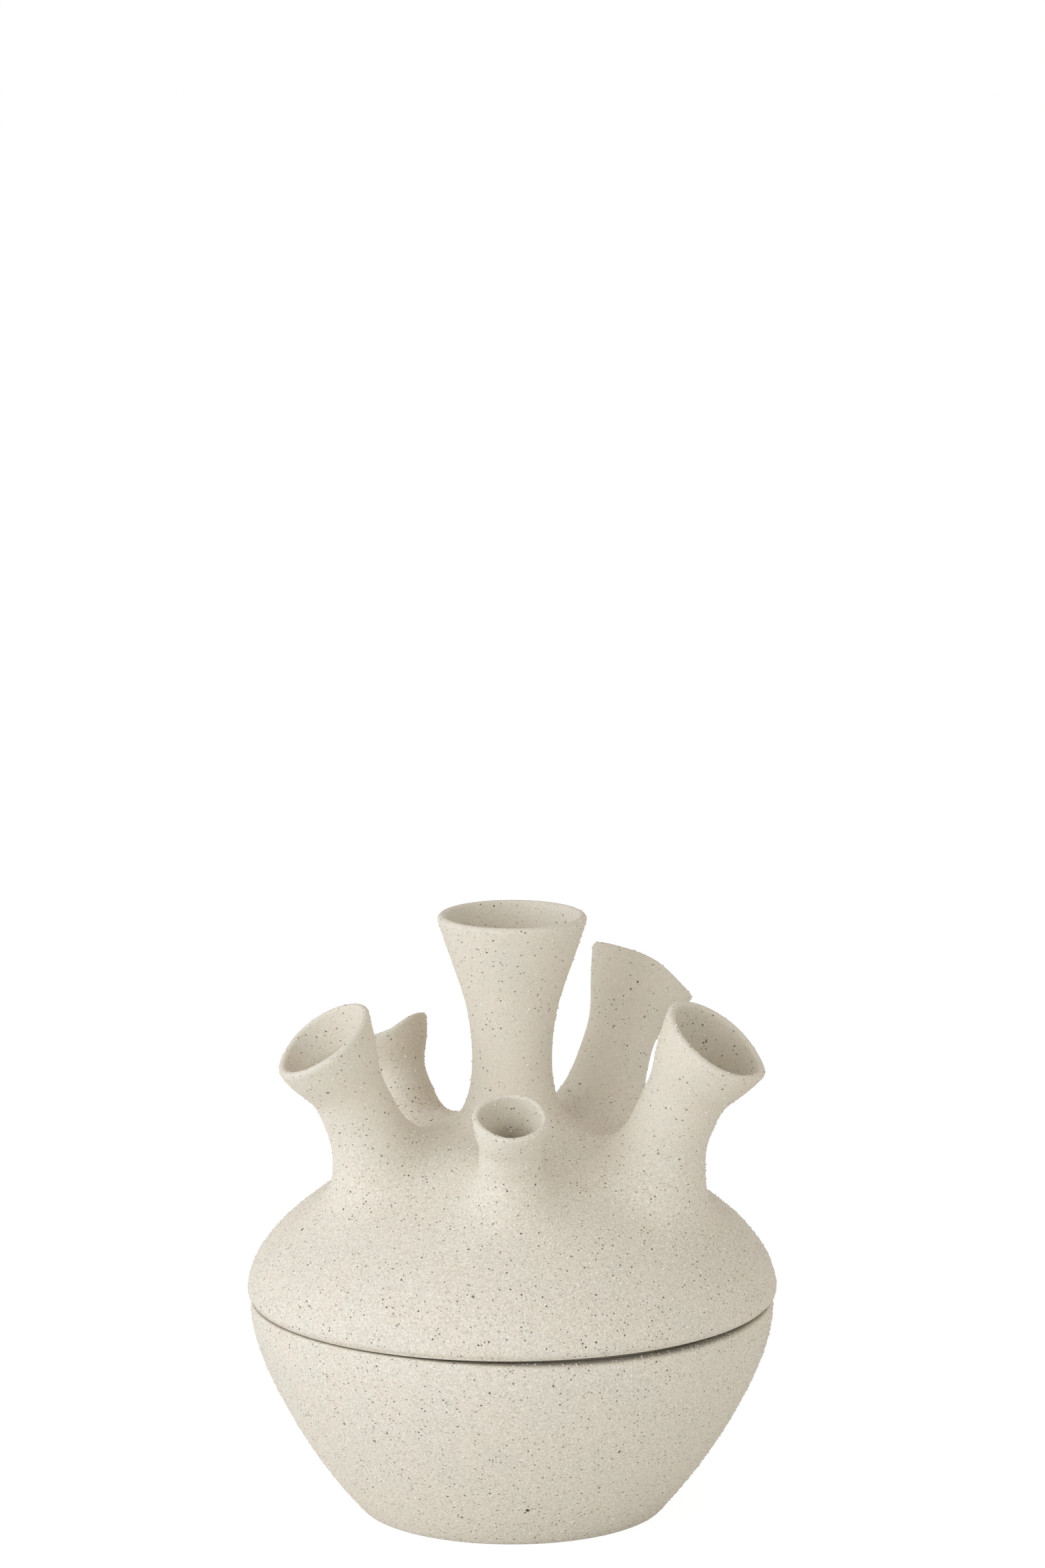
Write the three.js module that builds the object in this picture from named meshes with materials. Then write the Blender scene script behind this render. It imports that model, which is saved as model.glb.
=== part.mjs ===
// A tulip vase of sand-textured stoneware, in two loose pieces. A round bowl holds the water. A domed
// cover with six flared spouts sits in its mouth, and lifts off for filling and washing. One spout
// stands in the middle and five lean outwards round it, each for a single stem or a small bunch.
// Millimetres, +Z up. The origin is the centre of the foot, on the surface that the vase stands on.
import * as THREE from 'three';

// Bowl
const footRadius = 57.5;
const footEdge = 1;
const footRingWidth = 9;
const footRecess = 2.5;
const bowlHeight = 79.4;
const rimRadius = 99;
const bowlWall = 6;
const bowlFloor = 7;
const bowlAngleAtFoot = 45;
const bowlPullAtFoot = 23.4;
const bowlPullAtRim = 18.8;
const floorCornerRise = 9;
const floorFlatShare = 0.55;

// Cover: heights here are above the bowl's rim
const seatGap = 0.3;
const coverOverhang = 1.2;
const shoulderRise = 4.6;
const coverEdgeRound = 1.6;
const coverEdgeInset = 1.3;
const coverWall = 5;
const flangeClearance = 1;
const flangeThickness = 4;
const flangeDepth = 9;
const ledgeRise = 5;

// The dome: how far in from the shoulder, and how far above it
const domeStations = [
  [0, 0], [2.4, 9.2], [7.6, 17.4], [16.4, 26.5], [30.2, 38.1], [49.4, 48.3], [68.4, 63],
];
const domeTop = 66.5;

// The spout in the middle, as radius and height above the rim, from its root to its mouth
const centreStations = [[23.4, 67.8], [18.1, 75], [15.3, 89], [16.9, 110.2], [22.4, 128.8], [28, 145.8]];
const centreLip = 3.4;

// The leaning spouts, anticlockwise seen from above. Reach is the distance from the axis and rise is
// the height above the rim. rootTilt and mouthTilt are from upright, and swing turns a mouth sideways.
// presses are where fingers pushed a wet mouth out of round: an angle round it from its outer side,
// and how far it moved outwards and up there.
const spouts = [
  { name: 'front', azimuth: 269.5, swing: 2, rootReach: 50.4, rootTilt: 15, reach: 64.4, rise: 84.4,
    mouthTilt: 26, rootRadius: 18, neckRadius: 11.6, mouthRadius: 14.2, lip: 2.4,
    presses: [[90, 0, -1], [315, -1, 0]] },
  { name: 'right', azimuth: 334.5, swing: -2, rootReach: 56.4, rootTilt: 17, reach: 84, rise: 106.2,
    mouthTilt: 36.5, rootRadius: 22.8, neckRadius: 15.2, mouthRadius: 21.4, lip: 3,
    presses: [[0, 0, 1], [45, -1, -0.5], [90, -0.5, -0.5], [180, 1, 0]] },
  { name: 'back_right', azimuth: 48.5, swing: -6, rootReach: 47.2, rootTilt: 20, reach: 77, rise: 113.2,
    mouthTilt: 35, rootRadius: 22.4, neckRadius: 13.6, mouthRadius: 20.6, lip: 2.8,
    presses: [[135, 2, 0], [270, -1, -2], [315, 0, -2]] },
  { name: 'back_left', azimuth: 134.5, swing: 9, rootReach: 52, rootTilt: 9.5, reach: 70, rise: 91.2,
    mouthTilt: 26.5, rootRadius: 19.2, neckRadius: 10.6, mouthRadius: 17.6, lip: 2.4,
    presses: [[90, 0, -1], [135, -1, -2.5]] },
  { name: 'left', azimuth: 202, swing: 2, rootReach: 50.2, rootTilt: 24, reach: 76.4, rise: 104.2,
    mouthTilt: 34, rootRadius: 20.4, neckRadius: 14, mouthRadius: 20.2, lip: 3.2,
    presses: [[0, -1, -0.5], [180, 2, 0], [225, 1, 0.5], [315, -1.5, -0.5]] },
];
// Rings along a leaning spout: the share of its length, and the share of its flare reached there
const spoutRings = [[0.28, 0.24], [0.46, 0], [0.64, 0.04], [0.82, 0.6], [1, 1]];
const rootPull = 0.38;
const mouthPull = 0.32;
const rootSink = 2;
const rootSwell = 1.5;

// Where the dome shows in the gaps between the spouts, as distances from the axis
const gapRadii = [70, 50, 34];

// Fineness of the surfaces
const bowlSegments = 60;
const wallSteps = 12;
const cornerSteps = 5;
const lipSteps = 4;
const domeSteps = 140;
const fittingRounds = 14;

const radians = THREE.MathUtils.degToRad;
const { lerp, mapLinear, euclideanModulo } = THREE.MathUtils;

// A level direction at an angle round the axis
const heading = (degrees) => new THREE.Vector3(Math.cos(radians(degrees)), Math.sin(radians(degrees)), 0);

// A point at an angle, a distance from the axis and a height
const place = (degrees, radius, height) => heading(degrees).multiplyScalar(radius).setZ(height);

// The cover's own level: everything on the cover is measured from the seat
const seat = bowlHeight + seatGap;
const shoulderRadius = rimRadius + coverOverhang;
const shoulder = seat + shoulderRise;

const domeProfile = [
  ...domeStations.map(([inset, above]) => new THREE.Vector2(shoulderRadius - inset, shoulder + above)),
  new THREE.Vector2(0, shoulder + domeTop),
];
const domePoints = new THREE.SplineCurve(domeProfile).getPoints(domeSteps);

// Height of the bare dome at a distance from the axis
function domeHeight(radius) {
  const next = Math.max(1, domePoints.findIndex((p) => p.x <= radius));
  const [a, b] = [domePoints[next - 1], domePoints[next]];
  return mapLinear(radius, a.x, b.x, a.y, b.y);
}

// The cover's skin starts as a coarse cage of four-sided faces, which is then rounded off. Each vertex
// is [x, y, z, wall], so that the wall's thickness is smoothed with the shape. The finished skin runs
// through the held vertices, and flows freely near the others.
const cage = { points: [], faces: [], held: new Set() };

function addPoint(position, wall, isHeld = true) {
  const index = cage.points.push([...position.toArray(), wall]) - 1;
  if (isHeld) cage.held.add(index);
  return index;
}

// Faces between two rings of vertices
function bridge(lower, upper, isOpen = () => false) {
  lower.forEach((corner, i) => {
    const j = (i + 1) % lower.length;
    if (!isOpen(i)) cage.faces.push([corner, lower[j], upper[j], upper[i]]);
  });
}

// The cage has four columns to a leaning spout: three across its root, and one in the gap after it.
// At the shoulder they are evenly spaced, and further up they line up with the spouts.
const columnsPerSpout = 4;
const rootHalfAngle = 18;
const columnTurns = spouts.flatMap((spout, i) => {
  const gap = euclideanModulo(spouts[(i + 1) % spouts.length].azimuth - spout.azimuth, 360);
  return [-rootHalfAngle, 0, rootHalfAngle, gap / 2].map((step) => spout.azimuth + step);
});
const columnStep = 360 / columnTurns.length;

// How far each ring is turned in line, from the shoulder up, and from the middle spout's root up
const domeAlignments = [0, 0.25, 0.5, 0.85];
const centreAlignments = [0.5, 0.2, 0, 0, 0, 0];

// A level ring of the cage. alignment runs from 0, evenly spaced, to 1, lined up with the spouts.
function addRing(radius, height, wall, alignment, { isHeld = true, isMissing = () => false } = {}) {
  return columnTurns.map((aligned, i) => {
    if (isMissing(i)) return undefined;
    const even = spouts[0].azimuth + columnStep * (i - 1);
    const turn = euclideanModulo(aligned - even + 180, 360) - 180;
    return addPoint(place(even + alignment * turn, radius, height), wall, isHeld);
  });
}

// The dome, from its lower edge up to the roots of the spouts
const edgeRing = addRing(shoulderRadius - coverEdgeInset, seat + coverEdgeRound, coverWall, 0);
const domeRings = domeAlignments.map((alignment, i) => {
  return addRing(domeProfile[i].x, domeProfile[i].y, coverWall, alignment);
});
[edgeRing, ...domeRings].reduce((lower, upper) => {
  bridge(lower, upper);
  return upper;
});

// The roots lie between three rings, four faces to a spout, which are left open for it
const isRoot = (i) => i % columnsPerSpout < 2;
const isUnderSpout = (i) => i % columnsPerSpout === 1;
const rootRings = gapRadii.map((radius, i) => {
  const isMissing = i === 1 ? isUnderSpout : undefined;
  return addRing(radius, domeHeight(radius), coverWall, 1, { isHeld: false, isMissing });
});
bridge(domeRings.at(-1), rootRings[0]);
bridge(rootRings[0], rootRings[1], isRoot);
bridge(rootRings[1], rootRings[2], isRoot);

// The spout in the middle
const centreRings = centreStations.map(([radius, above], i) => {
  const wall = lerp(coverWall, centreLip, i / (centreStations.length - 1));
  return addRing(radius, seat + above, wall, centreAlignments[i], { isHeld: i > 0 });
});
[rootRings[2], ...centreRings].reduce((lower, upper) => {
  bridge(lower, upper);
  return upper;
});

// Centre line of a leaning spout, from inside the dome to the middle of its mouth
function centreLine(spout) {
  const { azimuth, swing, rootReach, rootTilt, reach, rise, mouthTilt } = spout;
  const root = place(azimuth, rootReach, domeHeight(rootReach) - rootSink);
  const mouth = place(azimuth, reach, seat + rise);
  const length = root.distanceTo(mouth);
  const leaving = place(azimuth, Math.sin(radians(rootTilt)), Math.cos(radians(rootTilt)));
  const arriving = place(azimuth + swing, Math.sin(radians(mouthTilt)), Math.cos(radians(mouthTilt)));
  return new THREE.CubicBezierCurve3(
    root,
    root.clone().addScaledVector(leaving, rootPull * length),
    mouth.clone().addScaledVector(arriving, -mouthPull * length),
    mouth,
  );
}

// Eight vertices round a spout's centre line, starting on its outer side
function addSpoutRing(line, share, azimuth, radius, wall, presses) {
  const centre = line.getPoint(share);
  const along = line.getTangent(share);
  const side = heading(azimuth + 90);
  side.addScaledVector(along, -side.dot(along)).normalize();
  const outer = new THREE.Vector3().crossVectors(side, along);
  return Array.from({ length: 8 }, (_, i) => {
    const around = 45 * i;
    const [, outwards, upwards] = presses.find(([at]) => at === around) ?? [around, 0, 0];
    const reach = radius + outwards;
    const point = centre.clone().addScaledVector(along, upwards);
    point.addScaledVector(outer, reach * Math.cos(radians(around)));
    return addPoint(point.addScaledVector(side, reach * Math.sin(radians(around))), wall);
  });
}

// Draws the open edge of the dome round at a spout's root, and returns its eight vertices
function roundRoot(spout, i) {
  const first = columnsPerSpout * i;
  const [outer, middle, inner] = rootRings.map((ring) => ring.slice(first, first + 3));
  const edge = [outer[1], outer[2], middle[2], inner[2], inner[1], inner[0], middle[0], outer[0]];
  edge.forEach((index, k) => {
    const around = radians(45 * k);
    const away = spout.rootReach + rootSink + spout.rootRadius * Math.cos(around);
    const aside = spout.rootRadius * Math.sin(around);
    const p = place(spout.azimuth, away, 0).addScaledVector(heading(spout.azimuth + 90), aside);
    cage.points[index] = [p.x, p.y, domeHeight(Math.hypot(p.x, p.y)) + rootSwell, coverWall];
  });
  return edge;
}

const mouths = [centreRings.at(-1)];
spouts.forEach((spout, i) => {
  const line = centreLine(spout);
  let below = roundRoot(spout, i);
  for (const [share, flare] of spoutRings) {
    const radius = lerp(spout.neckRadius, spout.mouthRadius, flare);
    const wall = lerp(coverWall, spout.lip, share);
    const presses = share === 1 ? spout.presses : [];
    const ring = addSpoutRing(line, share, spout.azimuth, radius, wall, presses);
    bridge(below, ring);
    below = ring;
  }
  mouths.push(below);
});

// Weighted sum of vertices, each given as [weight, vertex]
function blend(parts) {
  const total = [0, 0, 0, 0];
  for (const [weight, vertex] of parts) vertex.forEach((value, i) => { total[i] += weight * value; });
  return total;
}
const mean = (vertices) => blend(vertices.map((v) => [1 / vertices.length, v]));

// What meets at each vertex: its edges with the number of faces on each, those faces, and the corners
// across them
function findNeighbours({ points, faces }) {
  const around = points.map(() => ({ edges: new Map(), across: [], faces: [] }));
  faces.forEach((face, f) => face.forEach((vertex, i) => {
    const here = around[vertex];
    here.faces.push(f);
    here.across.push(face[(i + 2) % 4]);
    for (const other of [face[(i + 1) % 4], face[(i + 3) % 4]]) {
      here.edges.set(other, (here.edges.get(other) ?? 0) + 1);
    }
  }));
  return around;
}

const openNeighbours = ({ edges }) => [...edges].filter(([, uses]) => uses === 1).map(([other]) => other);

// Where the rounded-off surface passes each vertex
function surfaceOf(points, around) {
  const at = (indices) => indices.map((i) => points[i]);
  return points.map((point, i) => {
    const { edges, across, faces } = around[i];
    const open = openNeighbours(around[i]);
    if (open.length === 2) return blend([[4, point], ...at(open).map((p) => [1, p])]).map((c) => c / 6);
    const n = faces.length;
    const sides = at([...edges.keys()]).map((p) => [4, p]);
    const corners = at(across).map((p) => [1, p]);
    return blend([[n * n, point], ...sides, ...corners]).map((c) => c / (n * (n + 5)));
  });
}

// Moves the held vertices until the rounded-off surface passes through the places given for them
function fitToPlaces({ points, faces, held }) {
  const around = findNeighbours({ points, faces });
  let moved = points;
  for (let round = 0; round < fittingRounds; round += 1) {
    const reached = surfaceOf(moved, around);
    moved = moved.map((point, i) => (
      held.has(i) ? blend([[1, point], [1, points[i]], [-1, reached[i]]]) : point
    ));
  }
  return { points: moved, faces };
}

// Catmull-Clark subdivision: each face becomes four, and every vertex moves to the mean of its part
function subdivide({ points, faces }) {
  const around = findNeighbours({ points, faces });
  const centres = faces.map((face) => mean(face.map((i) => points[i])));
  const finer = points.map((point, i) => {
    const open = openNeighbours(around[i]);
    if (open.length === 2) return blend([[6 / 8, point], ...open.map((o) => [1 / 8, points[o]])]);
    const n = around[i].faces.length;
    const sideMean = mean([...around[i].edges.keys()].map((o) => points[o]));
    const faceMean = mean(around[i].faces.map((f) => centres[f]));
    return blend([[1 / n, faceMean], [1 / n, sideMean], [(n - 2) / n, point]]);
  });
  const facesOnEdge = new Map();
  const edgeKey = (a, b) => `${Math.min(a, b)}-${Math.max(a, b)}`;
  faces.forEach((face, f) => face.forEach((a, i) => {
    const key = edgeKey(a, face[(i + 1) % 4]);
    facesOnEdge.set(key, [...(facesOnEdge.get(key) ?? []), f]);
  }));
  const middles = new Map();
  for (const [key, sides] of facesOnEdge) {
    const middle = mean(key.split('-').map((i) => points[i]));
    const inside = sides.length === 2 ? mean([middle, mean(sides.map((f) => centres[f]))]) : middle;
    middles.set(key, finer.push(inside) - 1);
  }
  const middleOf = (a, b) => middles.get(edgeKey(a, b));
  const quarters = faces.flatMap((face, f) => {
    const centre = finer.push(centres[f]) - 1;
    const mids = face.map((a, i) => middleOf(a, face[(i + 1) % 4]));
    return face.map((a, i) => [a, mids[i], centre, mids[(i + 3) % 4]]);
  });
  const refine = (ring) => ring.flatMap((a, i) => [a, middleOf(a, ring[(i + 1) % ring.length])]);
  return { points: finer, faces: quarters, refine };
}

const fine = subdivide(fitToPlaces(cage));
const skin = surfaceOf(fine.points, findNeighbours(fine));
const outside = skin.map(([x, y, z]) => new THREE.Vector3(x, y, z));
const walls = skin.map((vertex) => vertex[3]);

// Outward direction at each vertex of the skin
const outward = outside.map(() => new THREE.Vector3());
for (const [a, b, c, d] of fine.faces) {
  const first = new THREE.Vector3().subVectors(outside[c], outside[a]);
  const second = new THREE.Vector3().subVectors(outside[d], outside[b]);
  const square = first.cross(second);
  for (const i of [a, b, c, d]) outward[i].add(square);
}
outward.forEach((direction) => direction.normalize());

// The cover as a closed solid: the skin, and the same skin a wall further in, stopping at a ledge above
// the seat
const vertices = outside.map((p) => p.clone());
const triangles = [];
const addVertex = (p) => vertices.push(p) - 1;
const addFace = (a, b, c, d) => triangles.push(a, b, c, a, c, d);

function joinRings(lower, upper) {
  lower.forEach((corner, i) => {
    const j = (i + 1) % lower.length;
    addFace(corner, lower[j], upper[j], upper[i]);
  });
}

const ledge = seat + ledgeRise;
const inside = outside.map((p, i) => {
  const inner = p.clone().addScaledVector(outward[i], -walls[i]);
  return addVertex(inner.setZ(Math.max(inner.z, ledge)));
});
for (const [a, b, c, d] of fine.faces) {
  addFace(a, b, c, d);
  addFace(inside[d], inside[c], inside[b], inside[a]);
}

// Each mouth has a rounded lip, a half circle from the outside over to the inside
for (const mouth of mouths) {
  const ring = fine.refine(mouth);
  const inner = ring.map((i) => inside[i]);
  let last = ring;
  for (let step = 1; step < lipSteps; step += 1) {
    const angle = (Math.PI * step) / lipSteps;
    const next = ring.map((i, k) => {
      const [before, after] = [ring.at(k - 1), ring[(k + 1) % ring.length]];
      const along = new THREE.Vector3().subVectors(outside[after], outside[before]);
      const up = new THREE.Vector3().crossVectors(outward[i], along).normalize();
      const half = walls[i] / 2;
      const middle = outside[i].clone().addScaledVector(outward[i], -half);
      middle.addScaledVector(outward[i], half * Math.cos(angle));
      return addVertex(middle.addScaledVector(up, half * Math.sin(angle)));
    });
    joinRings(last, next);
    last = next;
  }
  joinRings(last, inner);
}

// Under the skin the cover is turned: a rounded edge, the flat seat, and the flange that drops into
// the bowl's mouth and keeps the cover centred
const flangeRadius = rimRadius - bowlWall - flangeClearance;
const flangeInside = flangeRadius - flangeThickness;
const flangeBottom = seat - flangeDepth;
const chamfer = 1;
const roundedEdge = [45, 90].map((turn) => [
  shoulderRadius - coverEdgeInset - coverEdgeRound * (1 - Math.cos(radians(turn))),
  seat + coverEdgeRound * (1 - Math.sin(radians(turn))),
]);
const underside = [
  ...roundedEdge,
  [flangeRadius + chamfer, seat],
  [flangeRadius, seat - chamfer],
  [flangeRadius, flangeBottom + chamfer],
  [flangeRadius - chamfer, flangeBottom],
  [flangeInside + chamfer, flangeBottom],
  [flangeInside, flangeBottom + chamfer],
];
const edge = fine.refine(edgeRing);
let above = edge;
for (const [radius, height] of underside) {
  const ring = edge.map((i) => addVertex(outside[i].clone().setZ(0).setLength(radius).setZ(height)));
  joinRings(ring, above);
  above = ring;
}
edge.forEach((i) => vertices[inside[i]].setZ(0).setLength(flangeInside).setZ(ledge));
joinRings(edge.map((i) => inside[i]), above);

const coverGeometry = new THREE.BufferGeometry();
const coordinates = vertices.flatMap((v) => v.toArray());
coverGeometry.setAttribute('position', new THREE.Float32BufferAttribute(coordinates, 3));
coverGeometry.setIndex(triangles);
coverGeometry.computeVertexNormals();

// The bowl is turned. Its outside is one curve from the foot to the rim, and its inside follows that
// curve a wall further in, down to the rounded corner of the floor.
const rimHalf = bowlWall / 2;
const rimStart = bowlHeight - rimHalf;
const halfEdge = footEdge / 2;
const footTop = new THREE.Vector2(footRadius + halfEdge, halfEdge);
const rimSide = new THREE.Vector2(rimRadius, rimStart);
const footLeaving = new THREE.Vector2(Math.cos(radians(bowlAngleAtFoot)), Math.sin(radians(bowlAngleAtFoot)));
const bowlOutside = new THREE.CubicBezierCurve(
  footTop,
  footTop.clone().addScaledVector(footLeaving, bowlPullAtFoot),
  rimSide.clone().setY(rimStart - bowlPullAtRim),
  rimSide,
);
const insideWall = [];
for (let step = wallSteps; step >= 0; step -= 1) {
  const share = step / wallSteps;
  const along = bowlOutside.getTangent(share);
  const inward = new THREE.Vector2(-along.y, along.x).multiplyScalar(bowlWall);
  const point = bowlOutside.getPoint(share).add(inward);
  if (point.y > bowlFloor + floorCornerRise) insideWall.push(point);
}
const corner = insideWall.at(-1);
const cornerOut = new THREE.Vector2().subVectors(corner, insideWall.at(-2)).normalize();
const cornerTip = corner.clone().addScaledVector(cornerOut, (bowlFloor - corner.y) / cornerOut.y);
const flatEdge = new THREE.Vector2(floorFlatShare * corner.x, bowlFloor);
const floorCurve = new THREE.QuadraticBezierCurve(corner, cornerTip, flatEdge);
const rim = new THREE.Path().absarc(rimRadius - rimHalf, rimStart, rimHalf, 0, Math.PI);
const recessRadius = footRadius - footRingWidth;
const bowlProfile = [
  new THREE.Vector2(0, footRecess),
  new THREE.Vector2(recessRadius - footRecess, footRecess),
  new THREE.Vector2(recessRadius, 0),
  new THREE.Vector2(footRadius - halfEdge, 0),
  ...bowlOutside.getPoints(wallSteps),
  ...rim.getPoints(lipSteps).slice(1, -1),
  ...insideWall,
  ...floorCurve.getPoints(cornerSteps).slice(1),
  new THREE.Vector2(0, bowlFloor),
];
const bowlGeometry = new THREE.LatheGeometry(bowlProfile, bowlSegments);
bowlGeometry.rotateX(Math.PI / 2);

const stoneware = () => new THREE.MeshStandardMaterial({ color: 0xd6cfc2, roughness: 0.9, metalness: 0 });

const bowl = new THREE.Mesh(bowlGeometry, stoneware());
bowl.name = 'bowl';
const spoutCover = new THREE.Mesh(coverGeometry, stoneware());
spoutCover.name = 'spout_cover';

const vase = new THREE.Group();
vase.add(bowl, spoutCover);

export default vase;
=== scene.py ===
# %% [markdown]
# # A tulip vase of sand-textured stoneware
# The real vase is two loose pieces of fired clay. A round bowl holds the water, and a domed cover
# with six flared spouts sits on its rim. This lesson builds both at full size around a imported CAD
# model, so every length is in metres and both pieces are already in place.

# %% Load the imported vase
import math
import bpy
import bmesh
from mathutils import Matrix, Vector, geometry, kdtree, noise


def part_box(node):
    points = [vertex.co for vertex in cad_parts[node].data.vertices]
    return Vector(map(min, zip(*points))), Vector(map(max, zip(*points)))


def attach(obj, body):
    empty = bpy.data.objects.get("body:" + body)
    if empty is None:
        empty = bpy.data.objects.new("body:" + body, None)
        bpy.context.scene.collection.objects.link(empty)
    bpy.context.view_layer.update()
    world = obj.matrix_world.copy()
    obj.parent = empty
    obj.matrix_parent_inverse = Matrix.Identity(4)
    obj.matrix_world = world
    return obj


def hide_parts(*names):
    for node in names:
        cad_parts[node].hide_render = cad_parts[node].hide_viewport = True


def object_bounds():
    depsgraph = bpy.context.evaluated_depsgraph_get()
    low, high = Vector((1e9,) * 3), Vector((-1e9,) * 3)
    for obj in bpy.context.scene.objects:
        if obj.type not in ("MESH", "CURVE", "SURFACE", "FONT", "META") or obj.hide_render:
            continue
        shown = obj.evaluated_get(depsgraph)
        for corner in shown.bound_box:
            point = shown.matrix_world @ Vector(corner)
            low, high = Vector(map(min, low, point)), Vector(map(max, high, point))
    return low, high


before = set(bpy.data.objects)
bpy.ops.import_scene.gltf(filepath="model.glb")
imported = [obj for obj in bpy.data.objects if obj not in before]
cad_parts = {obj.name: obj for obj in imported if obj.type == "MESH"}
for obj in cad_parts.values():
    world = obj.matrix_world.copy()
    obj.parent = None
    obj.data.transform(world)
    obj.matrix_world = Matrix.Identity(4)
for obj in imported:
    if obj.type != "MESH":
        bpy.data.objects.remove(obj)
cad_low, cad_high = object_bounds()
print("CAD box:", [round(c, 4) for c in (*cad_low, *cad_high)])

# %% [markdown]
# ## Camera
# The photograph was taken from a little above, through a long lens a good way off. That keeps the
# outline nearly flat, and the small remaining perspective shows in how far the mouths open. The
# camera could be aimed by eye, but these numbers were solved from the vase's outline, so a render
# lies right over the photograph.

# %% Set up the camera
camera_place = Vector((0.0039, -2.434, 0.735))
camera_pitch = 10.655
lens_length = 152.57
sensor_height = 36
sight = 20

camera_data = bpy.data.cameras.new("camera")
camera_data.sensor_fit = "VERTICAL"
camera_data.sensor_height = sensor_height
camera_data.lens = lens_length
camera_data.clip_end = sight
camera = bpy.data.objects.new("camera", camera_data)
camera.location = camera_place
camera.rotation_euler = (math.radians(90 - camera_pitch), 0, 0)
bpy.context.scene.collection.objects.link(camera)
bpy.context.scene.camera = camera
print("camera is", round(camera_place.length, 2), "m from the foot of the vase")

# %% [markdown]
# ## Sizes taken from the frame
# The bowl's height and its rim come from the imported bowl, so that this model stays inside the CAD
# model's box. The cover's own sizes start from that rim.

# %% Read the driving sizes
bowl_low, bowl_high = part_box("bowl")
rim_height = bowl_high.z
rim_radius = bowl_high.x
seat_gap = 0.0003
cover_overhang = 0.0012
shoulder_rise = 0.0046
seat = rim_height + seat_gap
shoulder_radius = rim_radius + cover_overhang
shoulder = seat + shoulder_rise
print("bowl from", round(bowl_low.z, 4), "to", round(rim_height, 4), "m")

# %% [markdown]
# ## The bowl
# The bowl was thrown on a wheel, so its section is the same all the way round: spinning one outline
# about the axis makes the whole wall, inside and out. The outline is one long curve from the foot
# to the rim. A Screw modifier could do it too, but a spin in a bmesh leaves a plain mesh to shape.

# %% Outside of the wall
foot_radius = 0.0575
foot_rounding = 0.0006
angle_at_foot = math.radians(45)
pull_at_foot = 0.0234
pull_at_rim = 0.0188
bowl_wall = 0.006
rim_half = bowl_wall / 2
wall_steps = 40

foot_top = Vector((foot_radius + foot_rounding, foot_rounding))
foot_leaving = Vector((math.cos(angle_at_foot), math.sin(angle_at_foot))) * pull_at_foot
rim_start = Vector((rim_radius, rim_height - rim_half))
bowl_outside = geometry.interpolate_bezier(
    foot_top, foot_top + foot_leaving, rim_start - Vector((0, pull_at_rim)), rim_start, wall_steps)
print("outside of the wall:", len(bowl_outside), "points")

# %% Inside of the wall, and corner of the floor
bowl_floor = 0.007
floor_corner_rise = 0.009
floor_flat_share = 0.55
corner_pull = 0.667
corner_steps = 14


def lerp(a, b, share):
    """Value that share of the way from a to b."""
    return a + (b - a) * share


def offset_inwards(points, distance):
    """The same outline a distance further in, at right angles to itself."""
    moved = []
    for i in range(1, len(points) - 1):
        along = (points[i + 1] - points[i - 1]).normalized()
        moved.append(points[i] + Vector((-along.y, along.x)) * distance)
    return moved


inside_wall = [
    p for p in offset_inwards(bowl_outside, bowl_wall) if p.y > bowl_floor + floor_corner_rise]
inside_wall.reverse()
corner = inside_wall[-1]
falling = (inside_wall[-1] - inside_wall[-2]).normalized()
corner_tip = corner + falling * ((bowl_floor - corner.y) / falling.y)
flat_edge = Vector((floor_flat_share * corner.x, bowl_floor))
floor_corner = geometry.interpolate_bezier(
    corner, lerp(corner, corner_tip, corner_pull), lerp(flat_edge, corner_tip, corner_pull),
    flat_edge, corner_steps)
print("inside of the wall:", len(inside_wall), "points, corner:", len(floor_corner))

# %% The whole outline
foot_ring_width = 0.009
foot_recess = 0.0025
rim_rounding = 0.0011
recess_radius = foot_radius - foot_ring_width
rim_top = rim_height - rim_rounding
# From the recess down to the ring that the bowl stands on: how far in from the ring, and height
foot_turning = [(0.003, foot_recess), (0.0012, 0.0017), (0, 0.0003), (-foot_rounding, 0)]
foot_corner = Vector((foot_radius + 0.0001, 0.00015))


def arc(centre, radius, start, end, steps):
    """Points along an arc in the plane of the outline, angles in degrees."""
    angles = [math.radians(lerp(start, end, i / steps)) for i in range(steps + 1)]
    across, up = centre
    return [Vector((across + radius * math.cos(a), up + radius * math.sin(a))) for a in angles]


bowl_outline = [
    Vector((0, foot_recess)),
    Vector((0.5 * recess_radius, foot_recess)),
    *[Vector((recess_radius - inset, height)) for inset, height in foot_turning],
    Vector((foot_radius - foot_rounding, 0)),
    foot_corner,
    *bowl_outside,
    *arc((rim_radius - rim_rounding, rim_top), rim_rounding, 0, 90, 10),
    *arc((rim_radius - bowl_wall + rim_rounding, rim_top), rim_rounding, 90, 180, 6),
    *inside_wall,
    *floor_corner[1:],
    Vector((0.5 * flat_edge.x, bowl_floor)),
    Vector((0, bowl_floor)),
]
print("bowl outline:", len(bowl_outline), "points")

# %% Spin the outline round the axis
bowl_steps = 160
merge_distance = 1e-6


def spin_round(bm, profile, steps):
    """Spins a chain of vertices once round the upright axis."""
    edges = [bm.edges.new(pair) for pair in zip(profile, profile[1:])]
    bmesh.ops.spin(
        bm, geom=profile + edges, cent=(0, 0, 0), axis=(0, 0, 1), dvec=(0, 0, 0),
        angle=math.tau, steps=steps, use_merge=True)


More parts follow.
